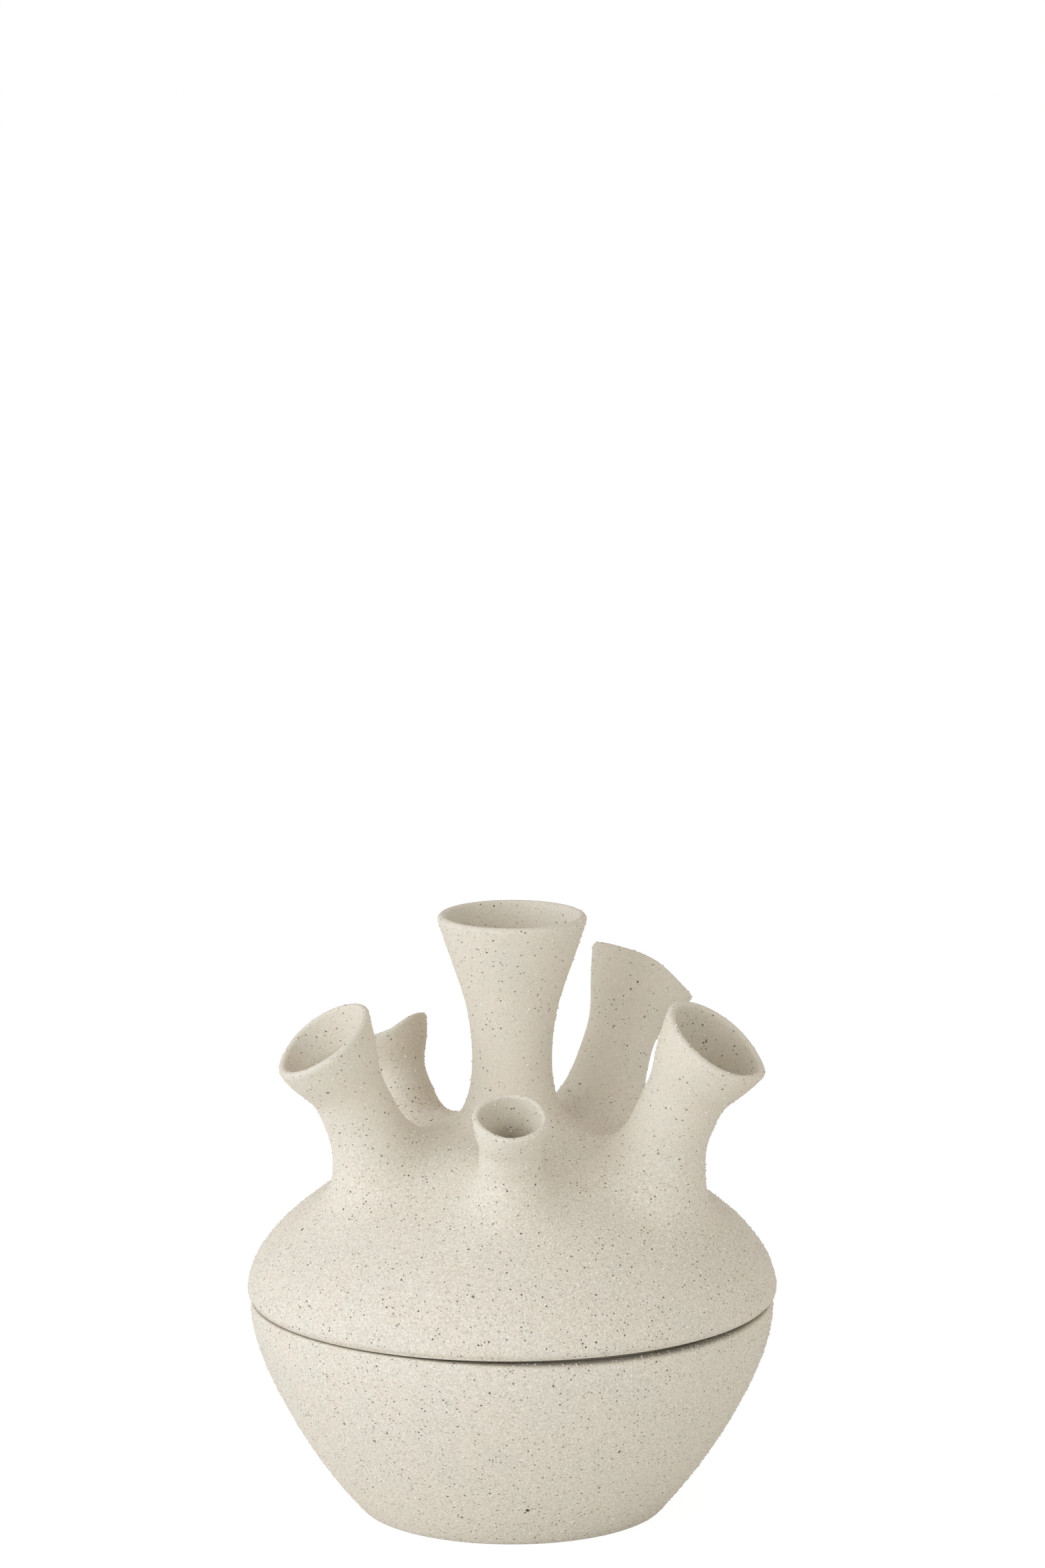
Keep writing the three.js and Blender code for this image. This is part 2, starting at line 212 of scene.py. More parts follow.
spun_bowl = bmesh.new()
spin_round(spun_bowl, [spun_bowl.verts.new((p.x, 0, p.y)) for p in bowl_outline], bowl_steps)
bmesh.ops.remove_doubles(spun_bowl, verts=spun_bowl.verts, dist=merge_distance)
bmesh.ops.recalc_face_normals(spun_bowl, faces=spun_bowl.faces)
print("spun bowl:", len(spun_bowl.verts), "vertices")


# %% List its parts by place
def put_in_order(bm):
    """Lists the parts of a mesh by place. Some operators list them differently on each run, and
    the sand is scattered face by face."""
    verts = sorted(bm.verts, key=lambda vert: vert.co[:])
    number = {vert: i for i, vert in enumerate(verts)}
    faces = []
    for face in bm.faces:
        corners = [number[vert] for vert in face.verts]
        first = corners.index(min(corners))
        faces.append(corners[first:] + corners[:first])
    mesh = bpy.data.meshes.new("ordered")
    mesh.from_pydata([vert.co for vert in verts], [], sorted(faces))
    for layer in bm.verts.layers.float.values():
        column = mesh.attributes.new(layer.name, "FLOAT", "POINT")
        column.data.foreach_set("value", [vert[layer] for vert in verts])
    bm.clear()
    bm.from_mesh(mesh)
    bpy.data.meshes.remove(mesh)


put_in_order(spun_bowl)
spun_bowl.normal_update()
print("listed by place:", len(spun_bowl.faces), "faces")

# %% [markdown]
# ## Hand-made unevenness
# No thrown pot is truly round or level. A slow noise moves the clay by tenths of a millimetre. The
# seam between the two pieces isn't level either: it climbs by 2 mm towards the front right, and
# there the bowl's rim doesn't follow the cover all the way up, which opens a dark gap. A Displace
# modifier could move the clay, but the sand has to know as well where the rim has gone.

# %% Waves in the clay
waviness = 0.0003
wave_length = 0.045
sand_height = 0.0002


def wave(point):
    """Slow unevenness of the clay at a point. It lies lower than the sizes, which include sand."""
    return waviness * noise.noise(point / wave_length) - sand_height


right_end = Vector((rim_radius, 0, rim_height))
print("right end of the rim moves", round(wave(right_end) * 1000, 3), "mm")

# %% The seam climbs and opens
seam_climb = 0.002
seam_highest = 297
gap_width = 0.0014
gap_azimuth = 300
gap_spread = 48
# Above 1, so that the gap stays at its full width for a little before it narrows
gap_fullness = 1.2
rim_slope = 0.8


def smooth_step(share):
    """0 below 0, 1 above 1, and an S-shaped rise between them."""
    share = min(1, max(0, share))
    return share * share * (3 - 2 * share)


def azimuth_of(point):
    """Angle of a point round the axis, in degrees."""
    return math.degrees(math.atan2(point.y, point.x))


def cover_rise(point):
    """How far the cover's lower edge lies above level, at the angle of a point."""
    return seam_climb * (1 + math.cos(math.radians(azimuth_of(point) - seam_highest))) / 2


def seam_gap(point):
    """How wide the seam stands open, at the angle of a point."""
    away = abs((azimuth_of(point) - gap_azimuth + 180) % 360 - 180)
    return gap_width * smooth_step(gap_fullness - away / gap_spread)


def rim_rise(point):
    """How far the bowl's rim lies above level. Where the seam is open its outer side slopes."""
    reach = math.hypot(point.x, point.y)
    slope = rim_slope * smooth_step(1 - (rim_radius - reach) / rim_half)
    return cover_rise(point) - seam_gap(point) * (1 + slope)


front = Vector((0, -rim_radius, rim_height))
print("seam at the front:", round(cover_rise(front) * 1000, 2), "mm up, open by",
      round(seam_gap(front) * 1000, 2), "mm")

# %% Make the bowl uneven
# Shares of the bowl's height: where its wall begins to follow the seam, and over how much of it
follow_from = 0.8
follow_over = 0.18
true_foot = 0.003

for vert in spun_bowl.verts:
    follow = smooth_step((vert.co.z / rim_height - follow_from) / follow_over)
    vert.co.z += rim_rise(vert.co) * follow
    if vert.co.z > true_foot:
        vert.co += vert.normal * wave(vert.co)
print("rim now reaches", round(max(vert.co.z for vert in spun_bowl.verts), 5))


# %% The finished bowl
def add_object(name, mesh):
    """Object at the origin that shows this mesh."""
    thing = bpy.data.objects.new(name, mesh)
    bpy.context.scene.collection.objects.link(thing)
    return thing


def piece_from(bm, name):
    """Smoothly shaded object made of a bmesh, which is used up."""
    mesh = bpy.data.meshes.new(name)
    bm.to_mesh(mesh)
    bm.free()
    mesh.shade_smooth()
    return add_object(name, mesh)


def triangle_count(thing):
    """Triangles of a finished mesh object."""
    return sum(len(face.vertices) - 2 for face in thing.data.polygons)


bowl = piece_from(spun_bowl, "bowl_clay")
print("bowl:", triangle_count(bowl), "triangles")

# %% [markdown]
# ## The cover as a coarse cage
# On the real cover the dome and the spouts are one skin: wet spouts were joined on and the joints
# smoothed with a thumb. Booleans would leave hard creases there. A coarse cage of four-sided faces,
# rounded off by Subdivision Surface, flows from the dome into every spout with no crease.

# %% Sizes of the dome and the middle spout
cover_wall = 0.005
centre_lip = 0.0034
# How far in from the shoulder, and how far above it
dome_stations = [
    (0, 0), (0.0024, 0.0092), (0.0076, 0.0174), (0.0164, 0.0265), (0.0302, 0.0381),
    (0.0494, 0.0483), (0.0684, 0.063),
]
dome_top = 0.0665
# Radius and height above the seat, from the root of the middle spout to its mouth
centre_stations = [
    (0.0234, 0.0678), (0.0181, 0.075), (0.0153, 0.089), (0.0169, 0.1102), (0.0224, 0.1288),
    (0.028, 0.1456),
]
print(len(dome_stations), "stations up the dome,", len(centre_stations), "up the middle spout")

# %% Sizes of the leaning spouts
# Anticlockwise seen from above. Reach is measured from the axis and rise from the seat. Tilts are
# from upright, and swing turns a mouth sideways. All angles are in degrees. Fingers have pressed
# each wet mouth a little out of round: at an angle round it, counted from its outer side, it has
# moved so far outwards and so far up. A funnel is how much thicker the wall is below the lip.
spouts = {
    "front": dict(
        azimuth=269.5, swing=2, root_reach=0.0504, root_tilt=15, reach=0.0644, rise=0.0844,
        mouth_tilt=26, root_radius=0.018, neck_radius=0.0116, mouth_radius=0.0142, lip=0.0024,
        presses={90: (0, -0.001), 315: (-0.001, 0)}),
    "right": dict(
        azimuth=334.5, swing=-2, root_reach=0.0564, root_tilt=17, reach=0.084, rise=0.1062,
        mouth_tilt=36.5, root_radius=0.0228, neck_radius=0.0152, mouth_radius=0.0214, lip=0.003,
        presses={0: (0, 0.001), 45: (-0.001, -0.0005), 90: (-0.0005, -0.0005), 180: (0.001, 0)}),
    "back_right": dict(
        azimuth=48.5, swing=-6, root_reach=0.0472, root_tilt=20, reach=0.077, rise=0.1132,
        mouth_tilt=35, root_radius=0.0224, neck_radius=0.0136, mouth_radius=0.0206, lip=0.0028,
        presses={135: (0.002, 0), 270: (-0.001, -0.002), 315: (0, -0.002)}),
    "back_left": dict(
        azimuth=134.5, swing=9, root_reach=0.052, root_tilt=9.5, reach=0.07, rise=0.0912,
        mouth_tilt=26.5, root_radius=0.0192, neck_radius=0.0106, mouth_radius=0.0176, lip=0.0024,
        presses={90: (0, -0.001), 135: (-0.001, -0.0025)}),
    "left": dict(
        azimuth=202, swing=2, root_reach=0.0502, root_tilt=24, reach=0.0764, rise=0.1042,
        mouth_tilt=34, root_radius=0.0204, neck_radius=0.014, mouth_radius=0.0202, lip=0.0032,
        funnel=0.0022,
        presses={
            0: (-0.001, -0.0005), 180: (0.002, 0), 225: (0.001, 0.0005), 315: (-0.0015, -0.0005)}),
}
print(len(spouts), "leaning spouts round the middle one")

# %% Height of the bare dome
dome_steps = 20
dome_profile = [
    Vector((shoulder_radius - inset, shoulder + above)) for inset, above in dome_stations]
dome_profile.append(Vector((0, shoulder + dome_top)))


def smooth_line(points, steps):
    """Points along a smooth line through all of the given ones."""
    padded = [points[0], *points, points[-1]]
    line = []
    for a, b, c, d in zip(padded, padded[1:], padded[2:], padded[3:]):
        line += geometry.interpolate_bezier(b, b + (c - a) / 6, c - (d - b) / 6, c, steps)[:-1]
    return line + [points[-1]]


dome_line = smooth_line(dome_profile, dome_steps)


def dome_height(radius):
    """Height of the bare dome at a distance from the axis."""
    for a, b in zip(dome_line, dome_line[1:]):
        if b.x <= radius:
            return lerp(a.y, b.y, (radius - a.x) / (b.x - a.x)) if a.x != b.x else a.y
    return dome_line[-1].y


print("dome height over the roots:", round(dome_height(0.05), 4))

# %% [markdown]
# ## Rings and columns
# The cage is spun too, and then each of its columns is turned in line with the spouts. A pot is
# described by angles round its axis, so most places are an angle, a radius and a height. Matrices
# could turn points as well, but a direction times a length reads more easily.

# %% Angles of the columns
# Four columns to a spout: three across its root, and one in the gap after it
columns_per_spout = 4
root_half_angle = 18
column_count = columns_per_spout * len(spouts)
azimuths = [spout["azimuth"] for spout in spouts.values()]

column_angles = []
for here, after in zip(azimuths, azimuths[1:] + azimuths[:1]):
    gap = (after - here) % 360
    column_angles += [here - root_half_angle, here, here + root_half_angle, here + gap / 2]
print("columns at", [round(angle % 360, 1) for angle in column_angles])

# %% Rings of the cage
# Radius, height, how far the columns have turned in line with the spouts, wall, and whether the
# finished skin must pass through the ring
gap_radii = [0.07, 0.05, 0.034]
edge_inset = 0.0017
edge_height = 0.0008
dome_alignments = [0, 0.25, 0.5, 0.85]
centre_alignments = [0.5, 0.2, 0, 0, 0, 0]

cage_rings = [(shoulder_radius - edge_inset, seat + edge_height, 0, cover_wall, True)]
for point, alignment in zip(dome_profile, dome_alignments):
    cage_rings.append((point.x, point.y, alignment, cover_wall, True))
first_root_ring = len(cage_rings)
for radius in gap_radii:
    cage_rings.append((radius, dome_height(radius), 1, cover_wall, False))
for i, (radius, above) in enumerate(centre_stations):
    wall = lerp(cover_wall, centre_lip, i / (len(centre_stations) - 1))
    cage_rings.append((radius, seat + above, centre_alignments[i], wall, i > 0))
print("rings of the cage:", len(cage_rings))


# %% Spin the cage of the dome and the middle spout
def heading(degrees):
    """Level direction at an angle round the axis."""
    angle = math.radians(degrees)
    return Vector((math.cos(angle), math.sin(angle), 0))


def place(degrees, radius, height):
    """Point at an angle, a distance from the axis and a height."""
    return heading(degrees) * radius + Vector((0, 0, height))


def spin_cage():
    """Cage of the dome and the middle spout, and its vertices by ring and column."""
    bm = bmesh.new()
    wall_layer = bm.verts.layers.float.new("wall")
    spin_round(bm, [bm.verts.new((ring[0], 0, ring[1])) for ring in cage_rings], column_count)
    grid = [[None] * column_count for _ in cage_rings]
    for vert in bm.verts:
        r = min(range(len(cage_rings)), key=lambda i: abs(cage_rings[i][1] - vert.co.z))
        turn = azimuth_of(vert.co) % 360
        grid[r][round(turn * column_count / 360) % column_count] = vert
    for row, (radius, height, alignment, wall, held) in zip(grid, cage_rings):
        for c, vert in enumerate(row):
            even = azimuths[0] + 360 / column_count * (c - 1)
            turn = (column_angles[c] - even + 180) % 360 - 180
            vert.co = place(even + alignment * turn, radius, height)
            vert[wall_layer] = wall
    return bm, grid


cage, grid = spin_cage()
print("cage:", len(cage.verts), "vertices,", len(cage.faces), "faces")

# %% [markdown]
# ## Pulling the spouts out of the dome
# Under each spout four faces of the cage are taken out, and the eight vertices round the hole are
# drawn into a circle. Extruding that edge five times along a curved centre line makes the tube. A
# curve with a bevel would make a tube too, but it would not be joined to the dome.

# %% Open the dome at a root
root_sink = 0.002
root_swell = 0.0015


def open_root(spout, number):
    """Opens the dome under a spout, and returns the eight vertices of the hole as a circle."""
    first = columns_per_spout * number
    outer, middle, inner = [grid[first_root_ring + r][first:first + 3] for r in range(3)]
    bmesh.ops.delete(cage, geom=[middle[1]], context="VERTS")
    ring = [outer[1], outer[2], middle[2], inner[2], inner[1], inner[0], middle[0], outer[0]]
    side = heading(spout["azimuth"] + 90)
    for k, vert in enumerate(ring):
        around = math.radians(45 * k)
        away = spout["root_reach"] + root_sink + spout["root_radius"] * math.cos(around)
        point = place(spout["azimuth"], away, 0) + side * spout["root_radius"] * math.sin(around)
        vert.co = (point.x, point.y, dome_height(point.length) + root_swell)
    return ring


roots = [open_root(spout, number) for number, spout in enumerate(spouts.values())]
print("roots opened:", len(roots))

# %% Centre line of a spout
root_pull = 0.38
mouth_pull = 0.32


def centre_line(spout):
    """Middle of a spout, from inside the dome to its mouth, as the four points of one curve."""
    azimuth = spout["azimuth"]
    root_tilt, mouth_tilt = math.radians(spout["root_tilt"]), math.radians(spout["mouth_tilt"])
    root = place(azimuth, spout["root_reach"], dome_height(spout["root_reach"]) - root_sink)
    mouth = place(azimuth, spout["reach"], seat + spout["rise"])
    length = (mouth - root).length
    leaving = place(azimuth, math.sin(root_tilt), math.cos(root_tilt))
    arriving = place(azimuth + spout["swing"], math.sin(mouth_tilt), math.cos(mouth_tilt))
    return root, root + leaving * root_pull * length, mouth - arriving * mouth_pull * length, mouth


def along_curve(points, share):
    """Point and direction at a share of a curve given by its four points."""
    a, b, c, d = points
    ab, bc, cd = lerp(a, b, share), lerp(b, c, share), lerp(c, d, share)
    start, end = lerp(ab, bc, share), lerp(bc, cd, share)
    return lerp(start, end, share), (end - start).normalized()


middle_of_front = along_curve(centre_line(spouts["front"]), 0.5)[0]
print("middle of the front spout:", [round(c, 4) for c in middle_of_front])

# %% Extrude the spouts
# Share of a spout's length, and share of its flare reached there
spout_rings = [(0.28, 0.24), (0.46, 0), (0.64, 0.04), (0.82, 0.6), (1, 1)]
funnel_from = 0.5
wall_layer = cage.verts.layers.float["wall"]
# The finished skin has to pass through the held vertices
held = {vert for row, ring in zip(grid, cage_rings) for vert in row if ring[4]}


def raise_ring(bm, ring):
    """Extrudes a closed ring of vertices, and returns the new ring in the same order."""
    edges = [bm.edges.get((ring[i - 1], ring[i])) for i in range(len(ring))]
    extruded = bmesh.ops.extrude_edge_only(bm, edges=edges)["geom"]
    made = {g for g in extruded if isinstance(g, bmesh.types.BMVert)}
    return [next(e.other_vert(v) for e in v.link_edges if e.other_vert(v) in made) for v in ring]


def pull_spout(spout, ring):
    """Extrudes one spout from the ring of vertices at its root."""
    line = centre_line(spout)
    for share, flare in spout_rings:
        ring = raise_ring(cage, ring)
        centre, along = along_curve(line, share)
        side = heading(spout["azimuth"] + 90)
        side = (side - along * side.dot(along)).normalized()
        outer = side.cross(along)
        radius = lerp(spout["neck_radius"], spout["mouth_radius"], flare)
        presses = spout["presses"] if share == 1 else {}
        for k, vert in enumerate(ring):
            around = math.radians(45 * k)
            outwards, upwards = presses.get(45 * k, (0, 0))
            away = (outer * math.cos(around) + side * math.sin(around)) * (radius + outwards)
            vert.co = centre + away + along * upwards
            vert[wall_layer] = lerp(cover_wall, spout["lip"], share)
            if funnel_from < share < 1:
                vert[wall_layer] += spout.get("funnel", 0)
            held.add(vert)


for spout, root in zip(spouts.values(), roots):
    pull_spout(spout, root)
bmesh.ops.recalc_face_normals(cage, faces=cage.faces)
cage.normal_update()
# An open skin has no inside, so Blender may have guessed the wrong side
if grid[1][0].normal.dot(grid[1][0].co) < 0:
    bmesh.ops.reverse_faces(cage, faces=cage.faces)
print("cage with spouts:", len(cage.verts), "vertices,", len(cage.faces), "faces")

# %% [markdown]
# ## Fitting the cage
# A rounded-off skin shrinks away from its cage. So that the sizes above are those of the finished
# pot, the cage is pushed out a few times by the distance that the skin still misses it by. A
# Shrinkwrap would need a finished surface to aim at. The vertices round the roots are left free,
# and the skin flows over them as smoothed clay does.

# %% Push the cage out
fitting_rounds = 14


def total(points):
    """Sum of points that is the same in whatever order they come."""
    return Vector([math.fsum(values) for values in zip(*points)])


def skin_point(vert):
    """Where the rounded-off skin passes a vertex of the cage."""
    if vert.is_boundary:
        sides = total(e.other_vert(vert).co for e in vert.link_edges if e.is_boundary)
        return (4 * vert.co + sides) / 6
    n = len(vert.link_faces)
    sides = total(e.other_vert(vert).co for e in vert.link_edges)
    across = total(loop.link_loop_next.link_loop_next.vert.co for loop in vert.link_loops)
    return (n * n * vert.co + 4 * sides + across) / (n * (n + 5))


targets = {vert: vert.co.copy() for vert in held}
for _ in range(fitting_rounds):
    misses = {vert: targets[vert] - skin_point(vert) for vert in held}
    for vert, miss in misses.items():
        vert.co += miss
largest_miss = max(miss.length for miss in misses.values())
print("largest miss left:", round(largest_miss * 1000, 4), "mm")

# %% Round the cage off
skin_levels = 3


def finished_mesh(thing):
    """The mesh of an object with its modifiers applied. The object goes away."""
    seen = thing.evaluated_get(bpy.context.evaluated_depsgraph_get())
    mesh = bpy.data.meshes.new_from_object(seen)
    bpy.data.objects.remove(thing)
    return mesh


put_in_order(cage)
cage_object = piece_from(cage, "cage")
rounding = cage_object.modifiers.new("rounding", "SUBSURF")
rounding.levels = skin_levels
rounding.render_levels = skin_levels
skin = bmesh.new()
skin.from_mesh(finished_mesh(cage_object))
print("skin:", len(skin.verts), "vertices")

# %% Make the skin uneven
# The cover follows the seam's climb up to this height above the seat
climb_height = 0.012
climb_ends = seat + climb_height

for vert in skin.verts:
    vert.co += vert.normal * wave(vert.co)
    climb = smooth_step((climb_ends - vert.co.z) / (climb_ends - seat))
    vert.co.z += cover_rise(vert.co) * climb
skin.normal_update()
print("lower edge from", round(min(vert.co.z for vert in skin.verts), 5))

# %% [markdown]
# ## Thickness, lips and the underside
# The skin gets an inner wall a few millimetres further in, thinner towards the mouths. Solidify
# would do that with square edges, but a potter wipes each lip round with a wet sponge. So each open
# edge is carried over to the inner wall in half-round steps. The underside was turned on the wheel,
# so its edge, seat and flange are plain rings.


# %% Find the open edges
def open_loops(bm):
    """The open edges of a mesh, each as a list of vertices in order, from the lowest one up."""
    left = [v for v in bm.verts if v.is_boundary]
    loops = []
    while left:
        loop = [left.pop()]
        while True:
            ahead = [e.other_vert(loop[-1]) for e in loop[-1].link_edges if e.is_boundary]
            ahead = [v for v in ahead if v in left]
            if not ahead:
                break
            loop.append(ahead[0])
            left.remove(ahead[0])
        loops.append(loop)
    return sorted(loops, key=lambda loop: sum(v.co.z for v in loop) / len(loop))


edge_loop, *mouth_loops = open_loops(skin)
print("mouths:", len(mouth_loops))

# %% Give the skin its inner wall
# Inside, the clay ends at a level ledge above the flange
ledge_rise = 0.005
ledge = seat + ledge_rise

wall_of = skin.verts.layers.float["wall"]
outside = list(skin.verts)
outward = {v: v.normal.copy() for v in outside}
copied = bmesh.ops.duplicate(skin, geom=skin.verts[:] + skin.edges[:] + skin.faces[:])
twin = {v: copied["vert_map"][v] for v in outside}
inner_faces = [g for g in copied["geom"] if isinstance(g, bmesh.types.BMFace)]
bmesh.ops.reverse_faces(skin, faces=inner_faces)
for vert in outside:
    inner = vert.co - outward[vert] * vert[wall_of]
    inner.z = max(inner.z, ledge)
    twin[vert].co = inner
print("skin and inner wall:", len(skin.verts), "vertices")

# %% Round the lips
lip_steps = 8


def round_lip(loop):
    """Carries an open edge of the skin over to the inner wall, along half a circle."""
    last = loop
    for step in range(1, lip_steps + 1):
        angle = math.pi * step / lip_steps
        after = raise_ring(skin, last)
        for k, vert in enumerate(after):
            start = loop[k]
            along = (loop[(k + 1) % len(loop)].co - loop[k - 1].co).normalized()
            up = outward[start].cross(along).normalized()
            up *= 1 if up.z > 0 else -1
            half = (start.co - twin[start].co).length / 2
            middle = (start.co + twin[start].co) / 2
            vert.co = middle + outward[start] * half * math.cos(angle) + up * half * math.sin(angle)
            if step == lip_steps:
                vert.co = twin[start].co
        last = after


for loop in mouth_loops:
    round_lip(loop)
lip_points = [vert.co.copy() for loop in mouth_loops for vert in loop]
print("points along the lips:", len(lip_points))

# %% Turn the underside: rounded edge, seat and flange
flange_clearance = 0.001
flange_thickness = 0.004
flange_depth = 0.009
flange_radius = rim_radius - bowl_wall - flange_clearance
flange_inside = flange_radius - flange_thickness
flange_end = seat - flange_depth
chamfer = 0.001
# A chamfer's middle lies this far from both faces, which rounds it
round_off = 0.0003
# How far in from the shoulder, and how far above the seat
edge_turning = [(0.0021, 0.0004), (0.0026, 0.0001), (0.0034, 0)]
underside = [
    *[(shoulder_radius - inset, seat + above) for inset, above in edge_turning],
    (flange_radius + chamfer, seat),
    (flange_radius + round_off, seat - round_off),
    (flange_radius, seat - chamfer),
    (flange_radius, flange_end + chamfer),
    (flange_radius - round_off, flange_end + round_off),
    (flange_radius - chamfer, flange_end),
    (flange_inside + chamfer, flange_end),
    (flange_inside + round_off, flange_end + round_off),
    (flange_inside, flange_end + chamfer),
]


def turned_in(vert, radius, height):
    """Place at the same angle as a vertex, but at this radius and height."""
    return Vector((vert.co.x, vert.co.y, 0)).normalized() * radius + Vector((0, 0, height))


ring = edge_loop
for radius, height in underside:
    ring = raise_ring(skin, ring)
    climb_share = 1 - (seat - height) / flange_depth if height < seat else 1
    for vert in ring:
        vert.co = turned_in(vert, radius, height + cover_rise(vert.co) * climb_share)
for vert in edge_loop:
    twin[vert].co = turned_in(vert, flange_inside, ledge)
ring = raise_ring(skin, ring)
for start, vert in zip(edge_loop, ring):
    vert.co = twin[start].co
print("flange reaches down to", round(flange_end, 4))

# %% The finished cover
open_verts = [v for v in skin.verts if v.is_boundary]
bmesh.ops.remove_doubles(skin, verts=open_verts, dist=merge_distance)
bmesh.ops.recalc_face_normals(skin, faces=skin.faces)
put_in_order(skin)
print("open edges left:", sum(e.is_boundary for e in skin.edges))
cover = piece_from(skin, "cover_clay")
print("cover:", triangle_count(cover), "triangles")

# %% [markdown]
# ## The clay
# The body is a warm pale grey, cloudy from beige to a cooler grey, and warmest at the foot. Iron in
# it has burnt out as dark specks of all strengths, a few of them rusty, and pale grains show too.
# Higher up, wet fingers have drawn smooth slip over the grit. Where the pieces rest on each other,
# the slot between them has painted shade: its clay is darkened. A painted image would have seams
# and one fixed size. A pattern worked out from the place in the clay, in metres, runs through the
# pot as the real one does.


# %% Helpers for nodes
def set_input(tree, socket, value):
    """Links a socket to another one, or gives it a plain value."""
    if isinstance(value, bpy.types.NodeSocket):
        tree.links.new(value, socket)
    else:
        socket.default_value = value


def add_node(tree, kind, **values):
    """New node, with its settings and the values of its input sockets."""
    node = tree.nodes.new(kind)
    for name, value in values.items():
        if hasattr(node, name):
            setattr(node, name, value)
        else:
            set_input(tree, node.inputs[name.replace("_", " ")], value)
    return node


def calculate(tree, operation, *values):
    """Output of a Math node."""
    node = add_node(tree, "ShaderNodeMath", operation=operation)
    for socket, value in zip(node.inputs, values):
        set_input(tree, socket, value)
    return node.outputs[0]


def product(tree, first, *others):
    """All of the values multiplied."""
    for value in others:
        first = calculate(tree, "MULTIPLY", first, value)
    return first


def between(tree, share, none, full):
    """Value that runs from none to full while a share runs from 0 to 1."""
    return calculate(tree, "MULTIPLY_ADD", share, full - none, none)


print("helpers for nodes are ready")


# %% Helpers for patterns
def ramp(tree, value, low, high, start=0.0, end=1.0, kind="SMOOTHSTEP"):
    """Value that runs from start to end while another one runs from low to high."""
    return add_node(
        tree, "ShaderNodeMapRange", interpolation_type=kind,
        Value=value, From_Min=low, From_Max=high, To_Min=start, To_Max=end).outputs[0]


def noise_between(tree, where, size, low, high, detail=2.0):
    """Smooth noise with patches of a size in metres, stretched: low gives 0 and high gives 1."""
    texture = add_node(tree, "ShaderNodeTexNoise", Vector=where, Scale=1 / size, Detail=detail)
    return ramp(tree, texture.outputs["Fac"], low, high)


def mix_colours(tree, share, first, second):
    """Colour between two others. A share of 0 gives the first one."""
    node = add_node(tree, "ShaderNodeMix", data_type="RGBA")
    for number, value in ((0, share), (6, first), (7, second)):
        set_input(tree, node.inputs[number], value)
    return node.outputs[2]


# Sizes and strengths of specks, from these shares of the full one up
smallest_speck = 0.4
weakest_speck = 0.6


def specks(tree, where, spacing, radius, share, edge):
    """Mask of round specks. A share of the cells holds one, each with its own size and strength."""
    cells = add_node(tree, "ShaderNodeTexVoronoi", Vector=where, Scale=1 / spacing)
    chance = add_node(tree, "ShaderNodeSeparateColor", Color=cells.outputs["Color"])
    size = between(
        tree, chance.outputs[0], smallest_speck * radius / spacing, radius / spacing)
    core = calculate(tree, "MULTIPLY", size, 1 - edge)
    spot = ramp(tree, cells.outputs["Distance"], core, size, start=1.0, end=0.0)
    chosen = calculate(tree, "LESS_THAN", chance.outputs[1], share)
    strength = between(tree, chance.outputs[2], weakest_speck, 1.0)
    return product(tree, spot, chosen, strength)


print("specks reach down to", smallest_speck, "of their full size")


# %% Clouds, mottling and grit
clay_warm = (0.727, 0.656, 0.539, 1)
clay_cool = (0.688, 0.652, 0.545, 1)
clay_sandy = (0.90, 0.86, 0.755, 1)
clay_dusty = (0.54, 0.49, 0.395, 1)
mottle_share = 0.4
cloud_share = 0.6
foot_height = 0.03
foot_coolness = 0.35
sugar_strength = 0.5
dust_strength = 0.55


def body_colour(tree, where, height):
    """Cloudy clay, with smaller mottling inside the clouds."""
    clouds = noise_between(tree, where, size=0.02, low=0.38, high=0.62, detail=4.0)
    mottle = noise_between(tree, where, size=0.0032, low=0.35, high=0.65, detail=3.0)
    clouds = calculate(tree, "MULTIPLY", clouds, cloud_share)
    cool = calculate(tree, "MULTIPLY_ADD", mottle, mottle_share, clouds)
    off_foot = ramp(tree, height, 0.0, foot_height, start=foot_coolness, kind="LINEAR")
    return mix_colours(tree, product(tree, cool, off_foot), clay_warm, clay_cool)


def add_grit(tree, where, grit, colour):
    """A fine grain like sugar over a colour, pale and dusty."""
    sugar = noise_between(tree, where, size=0.0007, low=0.4, high=0.72, detail=1.0)
    colour = mix_colours(tree, product(tree, sugar, grit, sugar_strength), colour, clay_sandy)
    dust = noise_between(tree, where, size=0.0009, low=0.48, high=0.78, detail=1.0)
    return mix_colours(tree, product(tree, dust, grit, dust_strength), colour, clay_dusty)


print("from warm to cool clay:", [round(b - a, 3) for a, b in zip(clay_warm, clay_cool)])


# %% Iron
iron_dark = (0.072, 0.061, 0.046, 1)
iron_faint = (0.17, 0.15, 0.12, 1)
iron_rust = (0.36, 0.21, 0.11, 1)
faint_strength = 0.5
rust_strength = 0.45
# Share of the small dark specks beside that of the faint ones
dark_share = 0.85


def add_iron(tree, where, many, colour):
    """Specks of iron over a colour, from faint to dark. Many is the share of cells with one."""
    faint = specks(tree, where, spacing=0.0011, radius=0.0004, share=many, edge=0.7)
    colour = mix_colours(tree, product(tree, faint, faint_strength), colour, iron_faint)
    rust = specks(tree, where, spacing=0.005, radius=0.0007, share=0.2, edge=0.8)
    colour = mix_colours(tree, product(tree, rust, rust_strength), colour, iron_rust)
    fewer = product(tree, many, dark_share)
    small = specks(tree, where, spacing=0.0013, radius=0.00047, share=fewer, edge=0.35)
    colour = mix_colours(tree, small, colour, iron_dark)
    large = specks(tree, where, spacing=0.006, radius=0.0009, share=0.15, edge=0.3)
    return mix_colours(tree, large, colour, iron_dark)


print("clay is", round(clay_warm[0] / iron_dark[0], 1), "times as light as iron")
